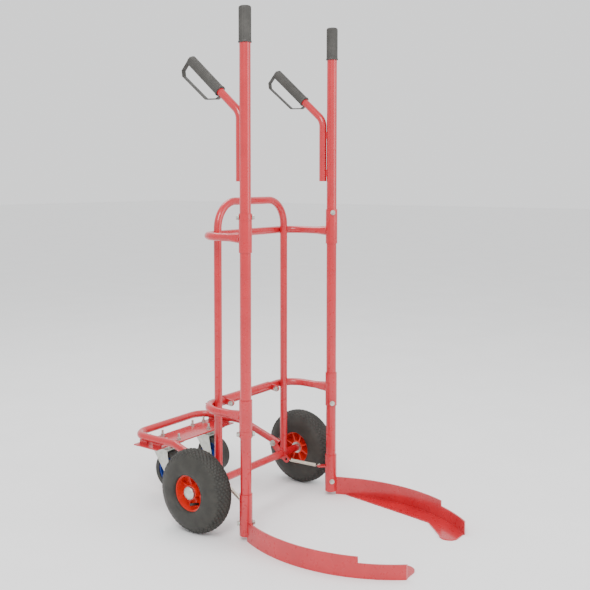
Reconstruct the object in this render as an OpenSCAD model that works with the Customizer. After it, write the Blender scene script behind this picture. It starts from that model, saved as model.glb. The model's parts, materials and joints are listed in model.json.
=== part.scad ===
// Hand truck with two turning lift forks, a fold-up caster frame and two pneumatic wheels.
// Millimetres. Z is up, the forks point to -Y, the floor is Z = 0.
// The right-hand side is +X; the left-hand parts are its mirror image.

/* [Overall] */
// Height over the top grips
total_height = 1600; // [1500:5:1700]
// Side place of the two uprights
arm_x = 233; // [220:1:250]
// Front-to-back place of the two uprights
arm_y = -16; // [-30:1:0]
// Front-to-back place of the wheel axle
axle_y = 144; // [130:1:160]
// Height of the wheel axle, equal to the wheel radius
axle_z = 130; // [120:1:140]

/* [Tubes] */
// Outer radius of the uprights
upright_r = 17; // [14:0.5:20]
// Outer radius of all thinner frame tubes
tube_r = 12.5; // [10:0.5:15]
// Wall of the thinner tubes
tube_wall = 2; // [1.5:0.5:4]
// Outer radius of sleeves and collars
sleeve_r = 20; // [19:0.5:24]
// Running clearance between sleeve and upright
sleeve_gap = 0.08; // [0.02:0.01:0.1]

/* [Frame] */
// Side place of the legs of the inner frame
leg_x = 174; // [165:1:180]
// Height of the top bar of the inner frame
hoop_top = 1020; // [980:5:1040]
// Height of the upper bow
upper_bow_z = 915; // [880:5:940]
// Height of the lower bow
lower_bow_z = 375; // [350:5:400]
// Plan radius of the bow corners
bow_corner = 70; // [50:5:90]

/* [Forks] */
// Plan radius of the curved fork blade
blade_radius = 470; // [450:5:500]
// Thickness of the fork blade
blade_t = 5; // [3:0.5:8]
// Full height of the fork blade
blade_h = 60; // [50:1:70]
// Height of the blade at its low front end
blade_low_h = 42; // [35:1:50]
// Thickness of the lip under the load
lip_t = 4; // [3:0.5:6]
// Front end of the forks
fork_front = -541; // [-560:1:-520]

/* [Handles] */
// Lean of the side handles from upright
handle_lean = 49; // [30:1:60]
// Radius of the rubber side grips
side_grip_r = 16.5; // [14:0.5:20]
// Radius of the rubber top grips
top_grip_r = 19; // [18:0.5:22]

/* [Wheels] */
// Side place of the wheel centres
wheel_x = 280; // [270:1:290]
// Width of the tyres
tyre_width = 85; // [75:1:95]

/* [Caster frame] */
// Front-to-back place of the caster frame pivots
pivot_y = 178; // [174:1:184]
// Height of the caster frame pivots
pivot_z = 163; // [158:1:168]
// Side place of the caster frame tubes
caster_tube_x = 176; // [174:1:180]
// Height of the level part of the caster frame
caster_tube_z = 214; // [205:1:220]
// Side place of the casters
caster_x = 107; // [100:1:115]
// Front-to-back place of the casters
caster_y = 448; // [440:1:455]
// Radius of the caster wheels
caster_r = 62.5; // [50:0.5:65]

/* [Hidden] */
$fn = 64;

paint = [0.7, 0.09, 0.12];
zinc = [0.62, 0.64, 0.6];
grip_black = [0.2, 0.2, 0.2];
tyre_black = [0.13, 0.13, 0.12];
rim_red = [0.84, 0.17, 0.12];
rim_blue = [0.14, 0.24, 0.55];

upright_wall = 2;
arm_bottom = 13;
bolt_r = 4;
bolt_gap = 0.1;
bolt_heights = [50, 323, 978];
bolt_turn = 225;
collar_heights = [[313, 333.5], [967.5, 989]];
fork_sleeve_top = 140;
hoop_corner = 85;
bow_y = axle_y + 2 * tube_r - 0.2;
weld = 0.2;
handle_offset = [-11, 29];
handle_foot = 1084;
handle_bend_z = 1270;
handle_bend_r = 45;
handle_slant = 237;
grip_length = 160;
blade_centre = [-174, -241];
notch_y = -426;
rim_r = 56;
shaft_r = 8;
slope = atan((caster_tube_z - pivot_z) / 156);
level_y = 334;
rear_bar_y = 529;
rear_corner = 60;
plate_top = 190;
plate_t = 4;
caster_plate_t = 3;
caster_axle_z = 95;
caster_trail = 36;
stud_x = 30;
stud_y = 39;
latch_tilt = -28;
latch_half = 118;
bar_half = 162;
bar_size = 25;

// Draws its children on the +X side, or mirrored on the -X side.
module on_side(side) {
    if (side > 0) {
        children();
    } else {
        mirror([1, 0, 0]) children();
    }
}

module ring(outer, inner, length) {
    difference() {
        cylinder(h = length, r = outer);
        translate([0, 0, -1]) cylinder(h = length + 2, r = inner);
    }
}

// Round bar between two points.
module rod(from, to, r) {
    v = to - from;
    len = norm(v);
    translate(from)
        rotate([0, acos(v[2] / len), atan2(v[1], v[0])])
            cylinder(h = len, r = r);
}

// Bolt along X with a hexagon head, two washers and a nut; reach is half the clamped width.
module cross_bolt(reach, r) {
    rotate([0, 90, 0]) {
        translate([0, 0, -reach - 2 * r]) cylinder(h = 2 * reach + 4 * r, r = r);
        translate([0, 0, reach + 0.2]) cylinder(h = 1.5, r = 2.1 * r);
        translate([0, 0, -reach - 1.7]) cylinder(h = 1.5, r = 2.1 * r);
        translate([0, 0, reach + 1.5]) cylinder(h = 1.3 * r, r = 1.8 * r, $fn = 6);
        translate([0, 0, -reach - 1.5 - 1.5 * r]) cylinder(h = 1.5 * r, r = 1.8 * r, $fn = 6);
    }
}

// ---- turning arms ----

module at_arm(side) {
    on_side(side) translate([arm_x, arm_y, 0]) children();
}

module arm_bolt_bores() {
    for (z = bolt_heights)
        translate([0, 0, z])
            rotate([0, 90, bolt_turn])
                cylinder(h = 80, r = bolt_r + bolt_gap, center = true);
}

module upright(side) {
    color(paint) at_arm(side)
        difference() {
            translate([0, 0, arm_bottom]) cylinder(h = total_height - 3 - arm_bottom, r = upright_r);
            translate([0, 0, arm_bottom - 1]) cylinder(h = total_height, r = upright_r - upright_wall);
            arm_bolt_bores();
        }
}

module top_grip(side) {
    color(grip_black) at_arm(side)
        difference() {
            translate([0, 0, 1493]) cylinder(h = total_height - 1493, r = top_grip_r);
            translate([0, 0, 1492]) cylinder(h = total_height - 3 - 1492, r = upright_r);
        }
}

module collars(side) {
    color(paint) at_arm(side)
        difference() {
            for (span = collar_heights)
                translate([0, 0, span[0]]) cylinder(h = span[1] - span[0], r = sleeve_r);
            translate([0, 0, 300]) cylinder(h = 700, r = upright_r);
            arm_bolt_bores();
        }
}

module arm_bolts(side) {
    color(zinc) at_arm(side)
        for (z = bolt_heights)
            translate([0, 0, z]) rotate([0, 0, bolt_turn]) cross_bolt(sleeve_r, bolt_r);
}

// Outline of the lip: a strip along the blade that ends in a rounded foot.
module lip_plan() {
    intersection() {
        translate(blade_centre) circle(r = blade_radius, $fn = 256);
        union() {
            polygon([[258, -46], [252, -76], [219, -297], [201, -408], [215, fork_front + 3],
                     [320, fork_front + 3], [320, -46]]);
            polygon([[201, -408], [131, -480], [142, fork_front + 3], [230, fork_front + 3]]);
            translate([142, fork_front + 33]) circle(r = 30);
        }
    }
}

module blade_plan() {
    intersection() {
        translate(blade_centre)
            difference() {
                circle(r = blade_radius, $fn = 256);
                circle(r = blade_radius - blade_t, $fn = 256);
            }
        translate([150, fork_front]) square([200, arm_y - 14 - fork_front]);
    }
}

// Ear with a hole for the front hook of the spring.
module spring_ear() {
    translate([0, 0, 97])
        rotate([0, 0, 129])
            difference() {
                union() {
                    translate([upright_r + 1, -9, 0]) cube([21, 18, 5]);
                    translate([upright_r + 22, 0, 0]) cylinder(h = 5, r = 9);
                }
                translate([upright_r + 22, 0, -1]) cylinder(h = 7, r = 4.5);
            }
}

module fork(side) {
    color(paint) {
        on_side(side)
            difference() {
                union() {
                    linear_extrude(height = blade_h) blade_plan();
                    linear_extrude(height = lip_t) lip_plan();
                    translate([arm_x, arm_y, arm_bottom])
                        cylinder(h = fork_sleeve_top - arm_bottom, r = sleeve_r);
                    translate([arm_x, arm_y, 0]) spring_ear();
                }
                translate([100, fork_front - 1, blade_low_h])
                    cube([200, notch_y - fork_front + 1, blade_h]);
                translate([arm_x, arm_y, -1]) cylinder(h = fork_sleeve_top + 2, r = upright_r);
                translate([arm_x, arm_y, 0]) arm_bolt_bores();
            }
    }
}

module handle_path(r, extra) {
    translate([handle_offset[0], handle_offset[1], handle_foot - extra])
        cylinder(h = handle_bend_z - handle_foot + extra, r = r);
    translate([handle_offset[0], handle_offset[1] + handle_bend_r, handle_bend_z])
        rotate([90, 0, -90])
            rotate_extrude(angle = handle_lean)
                translate([handle_bend_r, 0]) circle(r = r);
    translate([handle_offset[0], handle_offset[1] + handle_bend_r, handle_bend_z])
        rotate([90, 0, -90])
            rotate([0, 0, handle_lean])
                translate([handle_bend_r, 0, 0])
                    rotate([-90, 0, 0])
                        cylinder(h = handle_slant + extra, r = r);
}

// Places its children on the slanted end of the side handle, Z along the tube.
module on_handle() {
    bend_end_y = handle_offset[1] + handle_bend_r * (1 - cos(handle_lean));
    bend_end_z = handle_bend_z + handle_bend_r * sin(handle_lean);
    translate([handle_offset[0], bend_end_y, bend_end_z])
        rotate([-handle_lean, 0, 0])
            children();
}

module side_handle(side) {
    color(paint) at_arm(side)
        difference() {
            union() {
                handle_path(tube_r, 0);
                for (z = [1112, 1240])
                    translate([0, 0, z - 12])
                        rotate([0, 0, 110.8])
                            translate([upright_r - 3, -4, 0]) cube([6, 8, 24]);
            }
            handle_path(tube_r - tube_wall, 1);
            translate([0, 0, 1000]) cylinder(h = 400, r = upright_r - weld);
        }
}

module side_grip(side) {
    color(grip_black) at_arm(side) on_handle()
        difference() {
            union() {
                translate([0, 0, handle_slant - grip_length + 4])
                    cylinder(h = grip_length, r = side_grip_r);
                translate([0, 0, handle_slant - grip_length + 4]) cylinder(h = 5, r = side_grip_r + 3);
                translate([0, 0, handle_slant - 3]) cylinder(h = 7, r = side_grip_r + 2);
            }
            translate([0, 0, -1]) cylinder(h = handle_slant + 1, r = tube_r);
        }
}

// Flat strip between two points of the guard outline, with a rounded start.
module guard_strip(from, to) {
    v = to - from;
    translate(from) {
        circle(r = 1.8);
        rotate(atan2(v[1], v[0])) translate([0, -1.5]) square([norm(v), 3]);
    }
}

module hand_guard(side) {
    near_grip = handle_slant - grip_length - 6;
    corners = [[tube_r - weld, near_grip], [tube_r + 12, near_grip + 4], [52, near_grip + 38],
               [56, handle_slant - 8], [44, handle_slant + 5.5], [-8, handle_slant + 5.5]];
    color(grip_black) at_arm(side) on_handle()
        rotate([90, 0, 90])
            translate([0, 0, -8])
                linear_extrude(height = 16)
                    for (i = [0:len(corners) - 2])
                        guard_strip(corners[i], corners[i + 1]);
}

// ---- frame ----

module hoop_path(r, extra) {
    for (side = [-1, 1]) {
        on_side(side) {
            translate([leg_x, axle_y, axle_z - extra])
                cylinder(h = hoop_top - hoop_corner - axle_z + extra, r = r);
            translate([leg_x - hoop_corner, axle_y, hoop_top - hoop_corner])
                rotate([90, 0, 0])
                    rotate_extrude(angle = 90)
                        translate([hoop_corner, 0]) circle(r = r);
        }
    }
    translate([-leg_x + hoop_corner, axle_y, hoop_top])
        rotate([0, 90, 0])
            cylinder(h = 2 * (leg_x - hoop_corner), r = r);
}

module inner_frame() {
    color(paint)
        difference() {
            hoop_path(tube_r, 0);
            hoop_path(tube_r - tube_wall, 1);
            translate([-300, axle_y, axle_z]) rotate([0, 90, 0]) cylinder(h = 600, r = tube_r - weld);
        }
}

module axle_tube() {
    color(paint)
        translate([-250, axle_y, axle_z])
            rotate([0, 90, 0])
                ring(tube_r, shaft_r + 0.1, 500);
}

module axle_shaft() {
    color(zinc)
        translate([-316, axle_y, axle_z])
            rotate([0, 90, 0]) {
                cylinder(h = 632, r = shaft_r);
                cylinder(h = 8, r = 12, $fn = 6);
                translate([0, 0, 624]) cylinder(h = 8, r = 12, $fn = 6);
            }
}

module axle_washers() {
    color(zinc)
        for (side = [-1, 1])
            on_side(side)
                translate([0, axle_y, axle_z])
                    rotate([0, 90, 0]) {
                        translate([0, 0, 250.3]) ring(19, shaft_r + 0.1, 3);
                        translate([0, 0, 306.4]) ring(14, shaft_r + 0.1, 1.4);
                    }
}

module bow_path(r, extra) {
    straight = bow_y - bow_corner - arm_y;
    for (side = [-1, 1]) {
        on_side(side) {
            translate([arm_x, arm_y, 0]) rotate([-90, 0, 0]) cylinder(h = straight, r = r);
            translate([arm_x - bow_corner, bow_y - bow_corner, 0])
                rotate_extrude(angle = 90)
                    translate([bow_corner, 0]) circle(r = r);
        }
    }
    translate([-arm_x + bow_corner, bow_y, 0])
        rotate([0, 90, 0])
            cylinder(h = 2 * (arm_x - bow_corner), r = r);
}

// Tube end that grows taller and flatter where it meets the sleeve.
module bow_flare() {
    for (side = [-1, 1])
        on_side(side)
            translate([arm_x, arm_y + 12, 0])
                intersection() {
                    rotate([-90, 0, 0]) cylinder(h = 55, r1 = 17.5, r2 = tube_r - 0.5);
                    translate([-tube_r, -1, -30]) cube([2 * tube_r, 60, 60]);
                }
}

module bow(height) {
    color(paint)
        translate([0, 0, height])
            difference() {
                union() {
                    bow_path(tube_r, 0);
                    bow_flare();
                }
                bow_path(tube_r - tube_wall, 1);
                for (side = [-1, 1])
                    on_side(side)
                        translate([arm_x, arm_y, -40]) cylinder(h = 80, r = sleeve_r - weld);
            }
}

module sleeve(side, from, to) {
    color(paint) at_arm(side)
        translate([0, 0, from]) ring(sleeve_r, upright_r + sleeve_gap, to - from);
}

// Plate that carries the caster frame pivot and, below the axle, the rear hook of a spring.
module pivot_lugs() {
    color(paint)
        for (side = [-1, 1])
            on_side(side)
                translate([157, 0, 0])
                    rotate([90, 0, 90])
                        linear_extrude(height = 5)
                            difference() {
                                union() {
                                    translate([pivot_y, pivot_z]) circle(r = 13);
                                    translate([axle_y, axle_z]) circle(r = 17);
                                    translate([axle_y, axle_z]) rotate(44.1)
                                        translate([0, -12]) square([47, 24]);
                                    translate([axle_y - 23, axle_z - 14]) circle(r = 12);
                                    translate([axle_y, axle_z]) rotate(211)
                                        translate([0, -12]) square([27, 24]);
                                }
                                translate([pivot_y, pivot_z]) circle(r = 5.1);
                                translate([axle_y - 23, axle_z - 14]) circle(r = 5.5);
                                translate([axle_y, axle_z]) circle(r = tube_r - weld);
                            }
}

module spring(side) {
    color(zinc) on_side(side)
        rod([170, 103, 119], [205, 27, 109], 5.5);
}

// ---- wheels ----

module at_wheel(side) {
    on_side(side)
        translate([wheel_x, axle_y, axle_z])
            rotate([0, 90, 0])
                children();
}

module tyre_section(radius, half_flat) {
    centre_r = axle_z - 37.5;
    translate([centre_r, half_flat]) circle(r = radius);
    translate([centre_r, -half_flat]) circle(r = radius);
    translate([centre_r - radius, -half_flat]) square([2 * radius, 2 * half_flat]);
}

module tyre(side) {
    color(tyre_black) at_wheel(side)
        rotate_extrude()
            difference() {
                tyre_section(37.5, tyre_width / 2 - 37.5);
                tyre_section(29.5, tyre_width / 2 - 37.5);
                translate([0, -20]) square([90, 40]);
                translate([0, -60]) square([rim_r, 120]);
                translate([0, 28]) square([rim_r + 6, 20]);
                translate([0, -48]) square([rim_r + 6, 20]);
            }
}

module rim(side) {
    color(rim_red) at_wheel(side) {
        rotate_extrude()
            union() {
                translate([shaft_r + 0.06, -26]) square([14, 52]);
                translate([20, -4]) square([33, 5]);
                translate([rim_r - 4, -31]) square([4, 62]);
                translate([rim_r - 4, 28.2]) square([9, 3]);
                translate([rim_r - 4, -31.2]) square([9, 3]);
            }
        for (i = [0:7])
            rotate([0, 0, 45 * i + 22.5])
{
                translate([20, -2, -26]) cube([rim_r - 23, 4, 24]);
                translate([20, -1.5, 0]) cube([rim_r - 23, 3, 12]);
            }
    }
}

module hub_cap(side) {
    color(zinc) at_wheel(side)
        translate([0, 0, 26])
            difference() {
                intersection() {
                    cylinder(h = 16, r = 20);
                    translate([0, 0, -14]) sphere(r = 30);
                }
                translate([0, 0, -1]) cylinder(h = 12.5, r = 15.5);
            }
}

// ---- caster frame ----

module caster_path(r, extra) {
    for (side = [-1, 1]) {
        on_side(side) {
            translate([caster_tube_x, pivot_y, pivot_z])
                rotate([slope - 90, 0, 0])
                    translate([0, 0, -16 - extra])
                        cylinder(h = 18.5 + extra + (level_y - pivot_y) / cos(slope), r = r);
            translate([caster_tube_x, level_y - 2.5, caster_tube_z])
                rotate([-90, 0, 0])
                    cylinder(h = rear_bar_y - rear_corner - level_y + 2.5, r = r);
            translate([caster_tube_x - rear_corner, rear_bar_y - rear_corner, caster_tube_z])
                rotate_extrude(angle = 90)
                    translate([rear_corner, 0]) circle(r = r);
        }
    }
    translate([-caster_tube_x + rear_corner, rear_bar_y, caster_tube_z])
        rotate([0, 90, 0])
            cylinder(h = 2 * (caster_tube_x - rear_corner), r = r);
}

module caster_frame() {
    color(paint)
        difference() {
            caster_path(tube_r, 0);
            caster_path(tube_r - tube_wall, 1);
            for (x = [-caster_tube_x, caster_tube_x])
                translate([x, pivot_y, pivot_z])
                    rotate([0, 90, 0])
                        cylinder(h = 60, r = 5.06, center = true);
        }
}

module at_studs() {
    for (x = [-caster_x - stud_x, -caster_x + stud_x, caster_x - stud_x, caster_x + stud_x])
        for (y = [caster_y - stud_y, caster_y + stud_y])
            translate([x, y, plate_top]) children();
}

module caster_plate() {
    color(paint)
        difference() {
            union() {
                translate([-200, 394, plate_top - plate_t]) cube([400, 108, plate_t]);
                for (x = [-caster_tube_x, caster_tube_x])
                    for (y = [398, 460])
                        translate([x - 4, y, plate_top - 1]) cube([8, 34, 14]);
            }
            at_studs() translate([0, 0, -10]) cylinder(h = 20, r = bolt_r + bolt_gap);
            caster_path(tube_r - weld, 1);
        }
}

module caster_studs() {
    color(zinc)
        at_studs() {
            translate([0, 0, -12]) cylinder(h = 34, r = bolt_r);
            translate([0, 0, 0]) cylinder(h = 1.6, r = 9);
            translate([0, 0, 1.6]) cylinder(h = 6.5, r = 7.5, $fn = 6);
            translate([0, 0, -12]) cylinder(h = 5, r = 7.5, $fn = 6);
        }
}

module caster_top_plates() {
    under = plate_top - plate_t - caster_plate_t;
    color(zinc)
        difference() {
            for (x = [-caster_x, caster_x]) {
                translate([x - 42.5, caster_y - 52.5, under]) cube([85, 105, caster_plate_t]);
                translate([x, caster_y, under - 23]) cylinder(h = 24, r = 6);
                translate([x, caster_y, under - 23]) cylinder(h = 4, r = 10);
            }
            at_studs() translate([0, 0, -10]) cylinder(h = 20, r = bolt_r + bolt_gap);
        }
}

module pivot_bolts() {
    color(zinc)
        for (side = [-1, 1])
            on_side(side)
                translate([caster_tube_x - 3.25, pivot_y, pivot_z]) cross_bolt(15.75, 5);
}

module at_caster(side) {
    on_side(side) translate([caster_x, caster_y, 0]) children();
}

module caster_fork(side) {
    color(zinc) at_caster(side)
        difference() {
            union() {
                translate([0, 0, 168]) cylinder(h = 14.4, r = 28);
                translate([-25, -34, 165]) cube([50, 62, 3]);
                for (x = [-25, 22])
                    translate([x, 0, 0])
                        rotate([90, 0, 90])
                            linear_extrude(height = 3) {
                                polygon([[-34, 168], [28, 168], [28, 158], [-24, 88], [-50, 92]]);
                                translate([-caster_trail, caster_axle_z]) circle(r = 14);
                            }
            }
            translate([0, 0, 160]) cylinder(h = 30, r = 6.06);
            translate([0, 0, 155]) cylinder(h = 13.5, r = 11);
            translate([0, -caster_trail, caster_axle_z])
                rotate([0, 90, 0]) cylinder(h = 80, r = 5.1, center = true);
        }
}

module caster_axle(side) {
    color(zinc) at_caster(side)
        translate([0, -caster_trail, caster_axle_z]) cross_bolt(25, 5);
}

module at_caster_wheel(side) {
    at_caster(side)
        translate([0, -caster_trail, caster_axle_z])
            rotate([0, 90, 0])
                children();
}

module caster_tyre(side) {
    color(tyre_black) at_caster_wheel(side)
        rotate_extrude()
            difference() {
                union() {
                    translate([45, -19]) square([caster_r - 49, 38]);
                    translate([45, -15]) square([caster_r - 45, 30]);
                    for (y = [-15, 15])
                        translate([caster_r - 4, y]) circle(r = 4);
                }
                translate([0, -30]) square([46, 60]);
            }
}

module caster_rim(side) {
    color(rim_blue) at_caster_wheel(side)
        rotate_extrude()
            union() {
                translate([5.06, -20]) square([11, 40]);
                translate([14, -4]) square([28, 8]);
                translate([40, -15]) square([6, 30]);
            }
}

// ---- latch on the lower bow ----

module on_lower_bow() {
    translate([0, bow_y, lower_bow_z]) children();
}

module latch_sleeve() {
    color(paint) on_lower_bow()
        translate([-latch_half, 0, 0])
            rotate([0, 90, 0])
                ring(15.5, tube_r + 0.08, 2 * latch_half);
}

module latch_bar() {
    color(paint) on_lower_bow()
        difference() {
            rotate([latch_tilt, 0, 0])
                difference() {
                    translate([-bar_half, 15, -bar_size / 2]) cube([2 * bar_half, bar_size, bar_size]);
                    translate([-bar_half - 1, 17, -bar_size / 2 + 2])
                        cube([2 * bar_half + 2, bar_size - 4, bar_size - 4]);
                }
            translate([-latch_half, 0, 0])
                rotate([0, 90, 0]) cylinder(h = 2 * latch_half, r = 15.5 - weld);
        }
}

module latch_pad() {
    color(grip_black) on_lower_bow()
        rotate([latch_tilt, 0, 0])
            translate([-bar_half + 8, 18, bar_size / 2]) cube([2 * bar_half - 16, 19, 3]);
}

module latch_lugs() {
    color(paint) on_lower_bow()
        for (side = [-1, 1])
            on_side(side)
                translate([latch_half + 0.5, 0, 0])
                    rotate([90, 0, 90])
                        linear_extrude(height = 4)
                            difference() {
                                union() {
                                    circle(r = 14.6);
                                    rotate(188) translate([0, -10]) square([34, 20]);
                                    rotate(188) translate([34, 0]) circle(r = 10);
                                }
                                circle(r = tube_r - weld);
                                rotate(188) translate([34, 0]) circle(r = bolt_r + bolt_gap);
                            }
}

module latch_bolts() {
    color(zinc) on_lower_bow()
        for (side = [-1, 1])
            on_side(side)
                translate([latch_half + 2.5, -34 * cos(8), -34 * sin(8)]) cross_bolt(2, bolt_r);
}

inner_frame();
axle_tube();
axle_shaft();
axle_washers();
bow(upper_bow_z);  // upper_bow
bow(lower_bow_z);  // lower_bow
sleeve(-1, 872, 967);  // upper_left_sleeve
sleeve(1, 872, 967);  // upper_right_sleeve
sleeve(-1, 334, 427);  // lower_left_sleeve
sleeve(1, 334, 427);  // lower_right_sleeve
pivot_lugs();
spring(-1);  // left_spring
spring(1);  // right_spring
upright(-1);  // left_upright
top_grip(-1);  // left_top_grip
collars(-1);  // left_collars
fork(-1);  // left_fork
arm_bolts(-1);  // left_arm_bolts
side_handle(-1);  // left_side_handle
side_grip(-1);  // left_side_grip
hand_guard(-1);  // left_hand_guard
upright(1);  // right_upright
top_grip(1);  // right_top_grip
collars(1);  // right_collars
fork(1);  // right_fork
arm_bolts(1);  // right_arm_bolts
side_handle(1);  // right_side_handle
side_grip(1);  // right_side_grip
hand_guard(1);  // right_hand_guard
tyre(-1);  // left_tyre
rim(-1);  // left_rim
hub_cap(-1);  // left_hub_cap
tyre(1);  // right_tyre
rim(1);  // right_rim
hub_cap(1);  // right_hub_cap
caster_frame();
caster_plate();
caster_studs();
caster_top_plates();
pivot_bolts();
caster_fork(-1);  // left_caster_fork
caster_axle(-1);  // left_caster_axle
caster_tyre(-1);  // left_caster_tyre
caster_rim(-1);  // left_caster_rim
caster_fork(1);  // right_caster_fork
caster_axle(1);  // right_caster_axle
caster_tyre(1);  // right_caster_tyre
caster_rim(1);  // right_caster_rim
latch_sleeve();
latch_bar();
latch_pad();
latch_lugs();
latch_bolts();
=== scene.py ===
import json
import math
import random
import bpy
from mathutils import Matrix, Vector


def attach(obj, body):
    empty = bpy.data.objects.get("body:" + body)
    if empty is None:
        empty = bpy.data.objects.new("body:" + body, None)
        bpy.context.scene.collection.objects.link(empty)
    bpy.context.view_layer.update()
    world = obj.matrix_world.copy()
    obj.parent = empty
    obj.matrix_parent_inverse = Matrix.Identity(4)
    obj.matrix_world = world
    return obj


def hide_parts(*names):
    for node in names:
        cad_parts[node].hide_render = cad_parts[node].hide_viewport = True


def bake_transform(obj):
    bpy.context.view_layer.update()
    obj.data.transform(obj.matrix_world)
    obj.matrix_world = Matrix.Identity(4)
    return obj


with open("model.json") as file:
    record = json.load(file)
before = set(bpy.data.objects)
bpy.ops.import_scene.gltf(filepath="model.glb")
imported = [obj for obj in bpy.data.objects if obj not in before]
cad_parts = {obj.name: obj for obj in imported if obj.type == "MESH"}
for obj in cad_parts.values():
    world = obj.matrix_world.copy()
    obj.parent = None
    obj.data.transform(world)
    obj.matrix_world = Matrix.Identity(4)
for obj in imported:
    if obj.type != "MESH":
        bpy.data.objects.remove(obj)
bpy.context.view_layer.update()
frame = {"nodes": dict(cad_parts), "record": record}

random.seed(7)

ARM_X = 0.233
ARM_Y = -0.016
AXLE = Vector((0.0, 0.144, 0.130))
WHEEL_X = 0.280
CASTER = Vector((0.107, 0.412, 0.095))
HANDLE_X = ARM_X - 0.011
HANDLE_LEAN = math.radians(49)
HANDLE_BEND_R = 0.045
HANDLE_SLANT = 0.237
GRIP_LENGTH = 0.160
HANDLE_START = Vector((0, ARM_Y + 0.029 + HANDLE_BEND_R * (1 - math.cos(HANDLE_LEAN)),
                       1.270 + HANDLE_BEND_R * math.sin(HANDLE_LEAN)))
SIDES = {"left": -1, "right": 1}

EDGE_ROUND = 0.0007
EDGE_ANGLE = math.radians(40)

TYRE_HALF_WIDTH = 0.0425
TYRE_BEAD_R = 0.0575
TYRE_HEIGHT = 0.0685
TYRE_FULLNESS = 0.62
TYRE_SEAT_R = 0.0560
TYRE_SEAT_HALF = 0.0290
TREAD_START_R = 0.108
TREAD_FADE = 0.006
TREAD_DEPTH = 0.0040
TREAD_BLOCKS = 46
TREAD_PITCH = 0.0125
TREAD_GROOVE = 0.22
TREAD_FLANK = 0.16
SIDE_RING = (0.0925, 0.0965)
SIDE_RING_LIFT = 0.0005

TOP_GRIP_FOOT = 1.493
TOP_GRIP_LENGTH = 0.107
TOP_GRIP_R = 0.0190
SIDE_GRIP_R = 0.0165

SPRING_TURNS = 34
SPRING_COIL_R = 0.0047
SPRING_WIRE_R = 0.0013
TURN_STEPS = 12

LEG_X = 0.174
BOW_HEIGHTS = {"upper": 0.915, "lower": 0.375}
WELD_R = 0.0022
BOW_WELD_R = 0.0030
BOW_WELD_RING = 0.0135
LEG_WELD_RING = 0.0122
PLATE_WELD_X = 0.171
PLATE_WELD_Z = 0.1905
PLATE_WELDS_Y = (0.415, 0.477)
STUDS_X = (-0.137, -0.077, 0.077, 0.137)
STUDS_Y = (0.409, 0.487)
STUD_THREAD_FOOT = 0.1985
STUD_THREAD_PITCH = 0.0013
STUD_THREAD_TURNS = 9
STUD_THREAD_R = 0.0039
STUD_THREAD_WIRE = 0.0004
CASTER_RIBS = 10
RIB_START = 0.016
RIB_END = 0.041
RIB_R = 0.0062
VALVE_R = 0.0042


# ---- materials ----

class Shader:
    """Small helper that builds one node material."""

    def __init__(self, name):
        self.material = bpy.data.materials.new(name)
        self.material.use_nodes = True
        self.nodes = self.material.node_tree.nodes
        self.links = self.material.node_tree.links
        self.base = self.nodes["Principled BSDF"]
        self.coords = self.add("ShaderNodeTexCoord").outputs["Object"]

    def add(self, kind, **values):
        """Adds a node and sets its inputs; _ stands for a space in an input's name."""
        made = self.nodes.new(kind)
        for key, value in values.items():
            made.inputs[key.replace("_", " ")].default_value = value
        return made

    def noise(self, scale, detail=4.0, rough=0.55):
        """A noise pattern in the object's own coordinates."""
        made = self.add("ShaderNodeTexNoise", Scale=scale, Detail=detail, Roughness=rough)
        self.links.new(self.coords, made.inputs["Vector"])
        return made.outputs["Fac"]

    def ramp(self, source, low, high, start=0.3, end=0.7):
        """Blends two colours by a pattern."""
        made = self.add("ShaderNodeValToRGB")
        made.color_ramp.elements[0].position = start
        made.color_ramp.elements[0].color = (*low, 1)
        made.color_ramp.elements[1].position = end
        made.color_ramp.elements[1].color = (*high, 1)
        self.links.new(source, made.inputs["Fac"])
        return made.outputs["Color"]

    def span(self, source, low, high):
        """Maps a pattern onto a range of numbers."""
        made = self.add("ShaderNodeMapRange")
        made.inputs["To Min"].default_value = low
        made.inputs["To Max"].default_value = high
        self.links.new(source, made.inputs["Value"])
        return made.outputs["Result"]

    def bump(self, source, distance, strength=1.0):
        """Turns a pattern into fine relief of the surface."""
        made = self.add("ShaderNodeBump", Distance=distance, Strength=strength)
        self.links.new(source, made.inputs["Height"])
        self.links.new(made.outputs["Normal"], self.base.inputs["Normal"])

    def put(self, socket, source):
        """Feeds a pattern or colour into the shader."""
        self.links.new(source, self.base.inputs[socket])


def painted(name, low, high, roughness, coat):
    """Paint under a clear coat, with a small change of colour and a fine relief."""
    s = Shader(name)
    s.put("Base Color", s.ramp(s.noise(14), low, high))
    s.put("Roughness", s.span(s.noise(60, 5), roughness - 0.05, roughness + 0.08))
    s.base.inputs["Coat Weight"].default_value = coat
    s.base.inputs["Coat Roughness"].default_value = 0.12
    s.bump(s.noise(420, 2), 0.00012, 0.35)
    return s.material


def metal(name, low, high, roughness):
    """Bare or plated metal with a fine grain."""
    s = Shader(name)
    s.put("Base Color", s.ramp(s.noise(90, 6), low, high))
    s.base.inputs["Metallic"].default_value = 0.9
    s.put("Roughness", s.span(s.noise(240, 4), roughness - 0.08, roughness + 0.12))
    s.bump(s.noise(900, 3), 0.00008, 0.3)
    return s.material


def rubbery(name, low, high, roughness, grain, depth):
    """Rubber or moulded plastic with a fine grain."""
    s = Shader(name)
    s.put("Base Color", s.ramp(s.noise(35, 6), low, high))
    s.put("Roughness", s.span(s.noise(80, 5), roughness - 0.1, roughness + 0.1))
    s.base.inputs["Specular IOR Level"].default_value = 0.4
    s.bump(s.noise(grain, 4), depth, 0.6)
    return s.material


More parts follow.
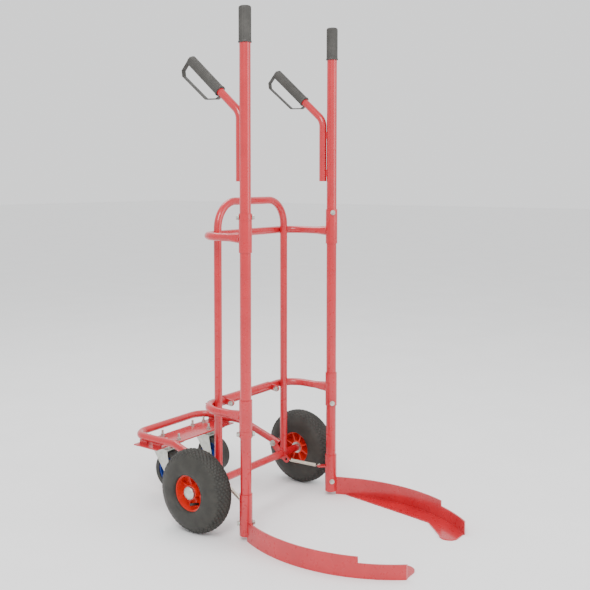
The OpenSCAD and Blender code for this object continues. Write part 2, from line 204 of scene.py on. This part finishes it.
LOOKS = {
    "red_paint": painted("red_paint", (0.44, 0.004, 0.012), (0.52, 0.008, 0.018), 0.27, 0.5),
    "rim_red": painted("rim_red", (0.66, 0.022, 0.010), (0.74, 0.032, 0.015), 0.36, 0.2),
    "zinc": metal("zinc", (0.42, 0.44, 0.40), (0.62, 0.63, 0.58), 0.36),
    "spring_steel": metal("spring_steel", (0.58, 0.55, 0.45), (0.74, 0.71, 0.62), 0.32),
    "grip_rubber": rubbery("grip_rubber", (0.040, 0.038, 0.034), (0.062, 0.059, 0.053), 0.5, 500, 0.0002),
    "tyre_rubber": rubbery("tyre_rubber", (0.020, 0.019, 0.016), (0.036, 0.034, 0.028), 0.55, 650, 0.00025),
    "caster_blue": rubbery("caster_blue", (0.012, 0.035, 0.22), (0.018, 0.050, 0.30), 0.4, 300, 0.0001),
    "caster_rubber": rubbery("caster_rubber", (0.030, 0.030, 0.027), (0.048, 0.047, 0.043), 0.6, 500, 0.0002),
}

for part in frame["record"]["subparts"]:
    shown = frame["nodes"][part["node"]]
    shown.data.materials.clear()
    shown.data.materials.append(LOOKS[part["material_slot"]])
    for face in shown.data.polygons:
        face.use_smooth = True
    if not any(m.type == "BEVEL" for m in shown.modifiers):
        bevel = shown.modifiers.new("edge", "BEVEL")
        bevel.width = EDGE_ROUND
        bevel.segments = 2
        bevel.limit_method = "ANGLE"
        bevel.angle_limit = EDGE_ANGLE
        bevel.harden_normals = True


# ---- mesh helpers ----

def piece(name, points, faces, slot, body):
    """Makes one smooth mesh piece in a slot's look; it rides on the body, if one is named."""
    mesh = bpy.data.meshes.new(name)
    mesh.from_pydata([tuple(p) for p in points], [], faces)
    mesh.update()
    mesh.materials.append(LOOKS[slot])
    for face in mesh.polygons:
        face.use_smooth = True
    made = bpy.data.objects.new(name, mesh)
    bpy.context.scene.collection.objects.link(made)
    if body:
        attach(made, body)
    return made


def sweep(path, radius, steps=10):
    """Round rod along a list of points, with flat ends."""
    points = []
    faces = []
    side = None
    for i, p in enumerate(path):
        ahead = path[min(i + 1, len(path) - 1)]
        behind = path[max(i - 1, 0)]
        along = (ahead - behind).normalized()
        if side is None:
            side = along.orthogonal().normalized()
        side = (side - along * side.dot(along)).normalized()
        other = along.cross(side)
        for k in range(steps):
            a = 2 * math.pi * k / steps
            points.append(p + radius * (math.cos(a) * side + math.sin(a) * other))
    for i in range(len(path) - 1):
        for k in range(steps):
            n = (k + 1) % steps
            faces.append((i * steps + k, i * steps + n, (i + 1) * steps + n, (i + 1) * steps + k))
    faces.append(tuple(reversed(range(steps))))
    faces.append(tuple((len(path) - 1) * steps + k for k in range(steps)))
    return points, faces


def to_axis_x(centre, sign):
    """Local Z becomes the outward side direction."""
    return Matrix.Translation(centre) @ Matrix.Rotation(sign * math.pi / 2, 4, "Y")


# ---- pneumatic tyres with a diamond block tread ----

def tread_height(angle, across):
    """Height of the tread above the carcass: diamond blocks between crossing grooves."""
    u = angle * TREAD_BLOCKS / (2 * math.pi)
    v = across / TREAD_PITCH
    first = abs((u + v) % 1.0 - 0.5) * 2
    second = abs((u - v) % 1.0 - 0.5) * 2
    edge = min(first, second)
    return TREAD_DEPTH * max(0.0, min(1.0, (edge - TREAD_GROOVE) / TREAD_FLANK))


def make_tyre(side, sign):
    """Rounded tyre with a block tread, a thin ring on each side wall and a seat on the rim."""
    steps = 720
    rows = 60
    section = []
    for k in range(rows + 1):
        t = math.pi * k / rows
        height = -TYRE_HALF_WIDTH * math.cos(t)
        lift = math.sin(t) ** TYRE_FULLNESS
        section.append((TYRE_BEAD_R + TYRE_HEIGHT * lift, height))
    section.append((TYRE_SEAT_R, TYRE_SEAT_HALF))
    section.append((TYRE_SEAT_R, -TYRE_SEAT_HALF))
    count = len(section)
    points = []
    faces = []
    for i in range(steps):
        a = 2 * math.pi * i / steps
        for r, h in section:
            grown = r
            if r > TREAD_START_R:
                fade = min(1.0, (r - TREAD_START_R) / TREAD_FADE)
                grown = r + fade * tread_height(a, h)
            elif SIDE_RING[0] < r < SIDE_RING[1]:
                grown = r + SIDE_RING_LIFT
            points.append(Vector((grown * math.cos(a), grown * math.sin(a), h)))
        n = (i + 1) % steps
        for k in range(count):
            m = (k + 1) % count
            faces.append((i * count + k, n * count + k, n * count + m, i * count + m))
    outward = to_axis_x(Vector((sign * WHEEL_X, AXLE.y, AXLE.z)), sign)
    made = piece(side + "_tread_tyre", [outward @ p for p in points], faces, "tyre_rubber", side + "_wheel")
    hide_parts(side + "_tyre")


def make_valve(side, sign):
    """Valve stem on the outer side of a main wheel."""
    centre = Vector((sign * WHEEL_X, AXLE.y, AXLE.z))
    start = centre + Vector((sign * 0.010, -0.018, -0.036))
    end = centre + Vector((sign * 0.040, -0.013, -0.030))
    points, faces = sweep([start, start.lerp(end, 0.55), end], VALVE_R, 14)
    piece(side + "_valve_stem", points, faces, "tyre_rubber", side + "_wheel")


# ---- grips ----

def ribbed(name, length, radius, bore, ribs, depth, matrix, body, node):
    """Ribbed rubber grip along local Z, with a collar at its foot and a cap at its end."""
    steps = 96
    rows = 60
    points = []
    faces = []
    profile = [(bore, 0.0), (radius + 0.0012, 0.0), (radius + 0.0015, 0.003)]
    first_row = len(profile)
    for k in range(rows + 1):
        profile.append((radius, 0.006 + (length - 0.012) * k / rows))
    profile += [(radius - 0.0006, length - 0.003), (radius - 0.0035, length)]
    profile += [(0.004, length + 0.0002)]
    count = len(profile)
    for i in range(steps):
        a = 2 * math.pi * i / steps
        groove = depth * (0.5 - 0.5 * math.cos(ribs * a)) ** 2
        for k, (r, h) in enumerate(profile):
            on_ribs = first_row <= k <= first_row + rows
            grown = r - groove if on_ribs else r
            points.append(matrix @ Vector((grown * math.cos(a), grown * math.sin(a), h)))
    for i in range(steps):
        n = (i + 1) % steps
        for k in range(count - 1):
            faces.append((i * count + k, n * count + k, n * count + k + 1, i * count + k + 1))
    faces.append(tuple(i * count + count - 1 for i in range(steps)))
    faces.append(tuple(reversed([i * count for i in range(steps)])))
    made = piece(name, points, faces, "grip_rubber", body)
    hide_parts(node)


def handle_matrix(sign):
    """Local Z runs along the slanted end of one side handle."""
    at = Vector((sign * HANDLE_X, HANDLE_START.y, HANDLE_START.z))
    return Matrix.Translation(at) @ Matrix.Rotation(-HANDLE_LEAN, 4, "X")


# ---- closing springs ----

def spring_path(sign):
    """Rear loop, tight coil and front hook of one closing spring."""
    rear = Vector((sign * 0.1595, 0.121, 0.116))
    front = Vector((sign * 0.2085, 0.0145, 0.0995))
    along = (front - rear).normalized()
    side = along.orthogonal().normalized()
    other = along.cross(side)
    start = rear + along * 0.016
    end = front - along * 0.014
    path = [rear + Vector((0, 0.002, -0.0075)), rear + Vector((0, -0.005, -0.004)), rear + along * 0.010]
    total = SPRING_TURNS * TURN_STEPS
    for k in range(total + 1):
        a = 2 * math.pi * k / TURN_STEPS
        p = start.lerp(end, k / total)
        path.append(p + SPRING_COIL_R * (math.cos(a) * side + math.sin(a) * other))
    path += [front - along * 0.008, front + Vector((0, 0.001, 0.0065)), front + along * 0.004,
             front + Vector((0, 0.001, -0.0065))]
    return path, rear, front


def make_spring(side, sign):
    """The coil runs between the frame's lug and the fork's ear; it is built in one fixed shape and rides on
    no body.
    """
    path, rear, front = spring_path(sign)
    points, faces = sweep(path, SPRING_WIRE_R, 8)
    made = piece(side + "_coil_spring", points, faces, "spring_steel", None)
    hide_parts(side + "_spring")
    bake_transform(made)


# ---- weld beads ----

def weld_ring(name, centre, axis, radius, body, thickness=WELD_R):
    """Uneven bead round a tube end."""
    axis = axis.normalized()
    side = axis.orthogonal().normalized()
    other = axis.cross(side)
    points = []
    faces = []
    steps = 72
    ring = 8
    for i in range(steps):
        a = 2 * math.pi * i / steps
        out = math.cos(a) * side + math.sin(a) * other
        thick = thickness * (1 + 0.22 * math.sin(17 * a) + 0.12 * random.uniform(-1, 1))
        for k in range(ring):
            b = 2 * math.pi * k / ring
            points.append(centre + out * (radius + thick * math.cos(b)) + axis * thick * math.sin(b))
    for i in range(steps):
        n = (i + 1) % steps
        for k in range(ring):
            m = (k + 1) % ring
            faces.append((i * ring + k, i * ring + m, n * ring + m, n * ring + k))
    piece(name, points, faces, "red_paint", body)


def make_welds():
    """Beads at the feet of the legs, at the ends of the bows and beside the caster plate's hangers."""
    along_y = Vector((0, 1, 0))
    up = Vector((0, 0, 1))
    for side, sign in SIDES.items():
        foot = Vector((sign * LEG_X, AXLE.y, AXLE.z + 0.0125))
        weld_ring(side + "_leg_weld", foot, up, LEG_WELD_RING, "base_frame")
        for label, height in BOW_HEIGHTS.items():
            end = Vector((sign * ARM_X, ARM_Y + 0.0170, height))
            weld_ring(f"{side}_{label}_bow_weld", end, along_y, BOW_WELD_RING, "base_frame", BOW_WELD_R)
    half_bead = Vector((0, 0.014, 0))
    for side, sign in SIDES.items():
        for n, y in enumerate(PLATE_WELDS_Y):
            middle = Vector((sign * PLATE_WELD_X, y, PLATE_WELD_Z))
            points, faces = sweep([middle - half_bead, middle + half_bead], WELD_R, 8)
            piece(f"plate_weld_{side}_{n}", points, faces, "red_paint", "rear_frame")


# ---- stud threads and caster details ----

def make_threads():
    """A fine helix round each stud on the caster plate."""
    places = [(x, y) for x in STUDS_X for y in STUDS_Y]
    for number, (x, y) in enumerate(places):
        path = []
        for k in range(STUD_THREAD_TURNS * TURN_STEPS + 1):
            a = 2 * math.pi * k / TURN_STEPS
            path.append(Vector((x + STUD_THREAD_R * math.cos(a), y + STUD_THREAD_R * math.sin(a),
                                STUD_THREAD_FOOT + STUD_THREAD_PITCH * k / TURN_STEPS)))
        points, faces = sweep(path, STUD_THREAD_WIRE, 5)
        piece(f"stud_thread_{number}", points, faces, "zinc", "rear_frame")


def make_caster_ribs(side, sign):
    """Ribs between the hub and the outer ring of one caster wheel."""
    centre = Vector((sign * CASTER.x, CASTER.y, CASTER.z))
    for n in range(CASTER_RIBS):
        a = 2 * math.pi * n / CASTER_RIBS
        out = Vector((0, math.cos(a), math.sin(a)))
        points, faces = sweep([centre + out * RIB_START, centre + out * RIB_END], RIB_R, 8)
        piece(f"{side}_caster_rib_{n}", points, faces, "caster_blue", side + "_caster_wheel")


for side, sign in SIDES.items():
    make_tyre(side, sign)
    make_valve(side, sign)
    make_spring(side, sign)
    make_caster_ribs(side, sign)
    top = Matrix.Translation((sign * ARM_X, ARM_Y, TOP_GRIP_FOOT))
    ribbed(side + "_ribbed_top_grip", TOP_GRIP_LENGTH, TOP_GRIP_R, 0.0171, 24, 0.0012, top,
           side + "_arm", side + "_top_grip")
    low = handle_matrix(sign) @ Matrix.Translation((0, 0, HANDLE_SLANT - GRIP_LENGTH + 0.004))
    ribbed(side + "_ribbed_side_grip", GRIP_LENGTH, SIDE_GRIP_R, 0.0126, 20, 0.0009, low,
           side + "_arm", side + "_side_grip")
make_welds()
make_threads()


# ---- studio ----

world = bpy.data.worlds.new("studio")
bpy.context.scene.world = world
world.use_nodes = True
world.node_tree.nodes["Background"].inputs["Color"].default_value = (0.97, 0.975, 0.98, 1)
world.node_tree.nodes["Background"].inputs["Strength"].default_value = 1.3

floor_mesh = bpy.data.meshes.new("studio_floor")
floor_corners = [(-30, -30, 0), (30, -30, 0), (30, 30, 0), (-30, 30, 0)]
floor_mesh.from_pydata(floor_corners, [], [(0, 1, 2, 3)])
floor = bpy.data.objects.new("studio_floor", floor_mesh)
bpy.context.scene.collection.objects.link(floor)
pale = Shader("pale_floor")
pale.put("Base Color", pale.ramp(pale.noise(3), (0.90, 0.90, 0.90), (0.93, 0.93, 0.93)))
pale.base.inputs["Roughness"].default_value = 0.8
floor_mesh.materials.append(pale.material)


def soft_light(name, place, aim, power, width):
    """A square area light that points at its aim."""
    data = bpy.data.lights.new(name, "AREA")
    data.energy = power
    data.size = width
    lamp = bpy.data.objects.new(name, data)
    lamp.location = place
    lamp.rotation_euler = (Vector(aim) - Vector(place)).to_track_quat("-Z", "Y").to_euler()
    bpy.context.scene.collection.objects.link(lamp)


soft_light("key_light", (-2.6, -1.2, 3.2), (0, 0, 0.6), 95, 1.6)
soft_light("fill_light", (0.8, -3.4, 1.8), (0, 0, 0.7), 45, 2.2)
soft_light("top_light", (0.6, 1.6, 3.6), (0, 0.1, 0.4), 50, 1.8)


# ---- camera ----

CAMERA_PLACE = (-2.2325, -1.6421, 1.0908)
LENS = 52.78
SHIFT_Y = -0.1186
YAW = math.radians(-54.17)
PITCH = math.radians(3.03)
ROLL = math.radians(0.04)
back = Vector((math.sin(YAW) * math.cos(PITCH), -math.cos(YAW) * math.cos(PITCH), math.sin(PITCH)))
right = (-back).cross(Vector((0, 0, 1))).normalized()
over = right.cross(-back)
right_rolled = math.cos(ROLL) * right + math.sin(ROLL) * over
over_rolled = math.cos(ROLL) * over - math.sin(ROLL) * right

camera_data = bpy.data.cameras.new("photo_camera")
camera_data.sensor_width = 36.0
camera_data.lens = LENS
camera_data.shift_y = SHIFT_Y
camera_data.clip_end = 100
camera_data.dof.use_dof = False
camera = bpy.data.objects.new("photo_camera", camera_data)
facing = Matrix((right_rolled, over_rolled, back)).transposed().to_4x4()
camera.matrix_world = Matrix.Translation(CAMERA_PLACE) @ facing
bpy.context.scene.collection.objects.link(camera)
bpy.context.scene.camera = camera
